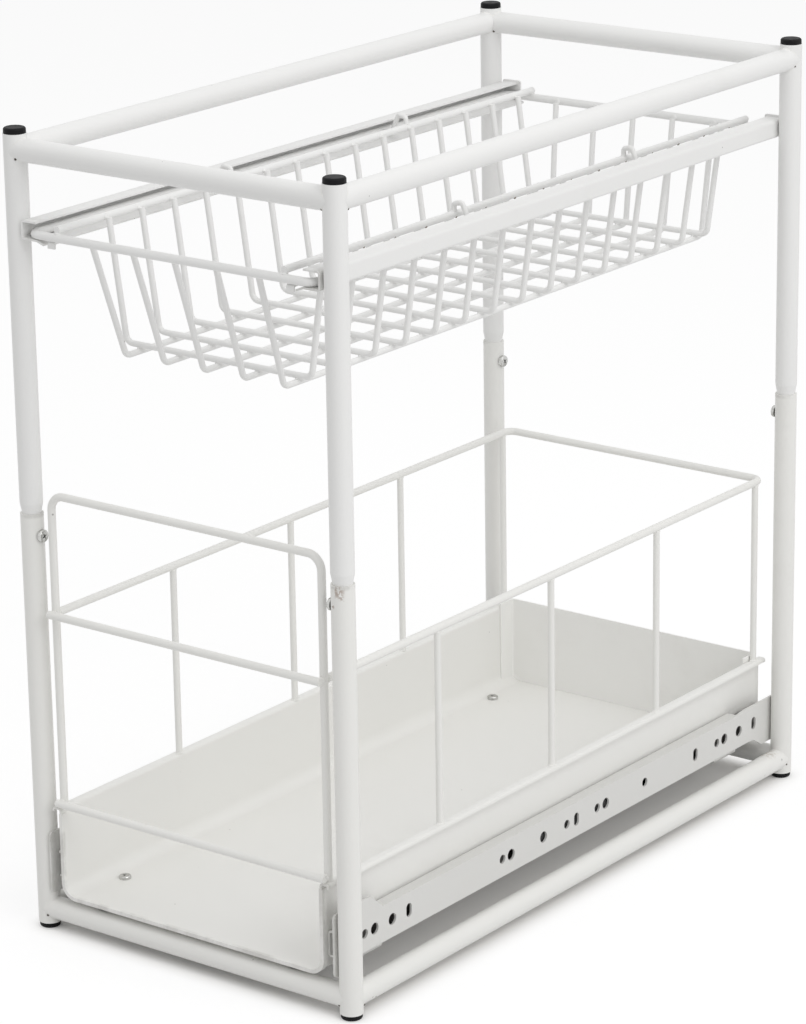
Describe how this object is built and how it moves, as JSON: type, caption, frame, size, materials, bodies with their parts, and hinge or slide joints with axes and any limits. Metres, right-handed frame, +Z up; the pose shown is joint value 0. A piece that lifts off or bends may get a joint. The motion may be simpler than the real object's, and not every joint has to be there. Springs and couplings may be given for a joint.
{
  "type": "under sink organizer",
  "caption": "Tiered pull-out cabinet organizer with a tube frame, a sliding wire basket above and a sliding sheet tray with a wire guard below.",
  "frame": {"origin": "middle of the footprint, on the floor under the feet", "axes": "+X to the right as seen from the front, +Y to the back, +Z up; basket and tray pull out towards -Y"},
  "size_m": [0.212, 0.412, 0.4262],
  "materials": {
    "frame_paint": "satin powder coat",
    "wire_paint": "satin powder coat over welded wire",
    "sheet_paint": "satin powder coat over folded sheet",
    "cap_plastic": "matt black moulding",
    "bumper_plastic": "matt black moulding",
    "screw_steel": "bright zinc plate",
    "ball_steel": "polished",
    "cage_steel": "zinc plate"
  },
  "bodies": {
    "frame": {"lower_post_front_left": "frame_paint", "lower_post_front_right": "frame_paint", "lower_post_rear_left": "frame_paint", "lower_post_rear_right": "frame_paint", "upper_post_front_left": "frame_paint", "upper_post_front_right": "frame_paint", "upper_post_rear_left": "frame_paint", "upper_post_rear_right": "frame_paint", "base_rail_front": "frame_paint", "base_rail_rear": "frame_paint", "base_rail_left": "frame_paint", "base_rail_right": "frame_paint", "top_rail_front": "frame_paint", "top_rail_rear": "frame_paint", "top_rail_left": "frame_paint", "top_rail_right": "frame_paint", "post_caps": "cap_plastic", "foot_caps": "cap_plastic", "joint_screws": "screw_steel", "basket_channel_left": "sheet_paint", "basket_channel_right": "sheet_paint", "channel_stops": "sheet_paint", "slide_outer_left": "sheet_paint", "slide_outer_right": "sheet_paint"},
    "basket": {"basket_rim": "wire_paint", "basket_inner_rims": "wire_paint", "basket_long_wires": "wire_paint", "basket_cross_wires_1": "wire_paint", "basket_cross_wires_2": "wire_paint", "basket_cross_wires_3": "wire_paint", "basket_arms": "wire_paint", "basket_stop_tabs": "wire_paint"},
    "tray": {"tray_trough": "sheet_paint", "tray_rear_panel": "sheet_paint", "tray_screws": "screw_steel", "tray_bumpers": "bumper_plastic", "slide_drawer_left": "sheet_paint", "slide_drawer_right": "sheet_paint", "guard_hoop": "wire_paint", "guard_lower_bar": "wire_paint", "guard_middle_bar": "wire_paint", "guard_side_wire": "wire_paint", "guard_uprights_left": "wire_paint", "guard_uprights_right": "wire_paint"},
    "ball_cages": {"ball_cage_left": "cage_steel", "ball_cage_right": "cage_steel", "slide_balls": "ball_steel"}
  },
  "joints": [
    {"name": "basket_slide", "type": "slide", "parent": "frame", "child": "basket", "axis": [0, -1, 0], "range_m": [0, 0.28]},
    {"name": "tray_slide", "type": "slide", "parent": "frame", "child": "tray", "axis": [0, -1, 0], "range_m": [0, 0.26]},
    {"name": "cage_slide", "type": "slide", "parent": "frame", "child": "ball_cages", "axis": [0, -1, 0], "range_m": [0, 0.13]}
  ],
  "couplings": [
    {"joint": "cage_slide", "follows": "tray_slide", "ratio": 0.5}
  ]
}
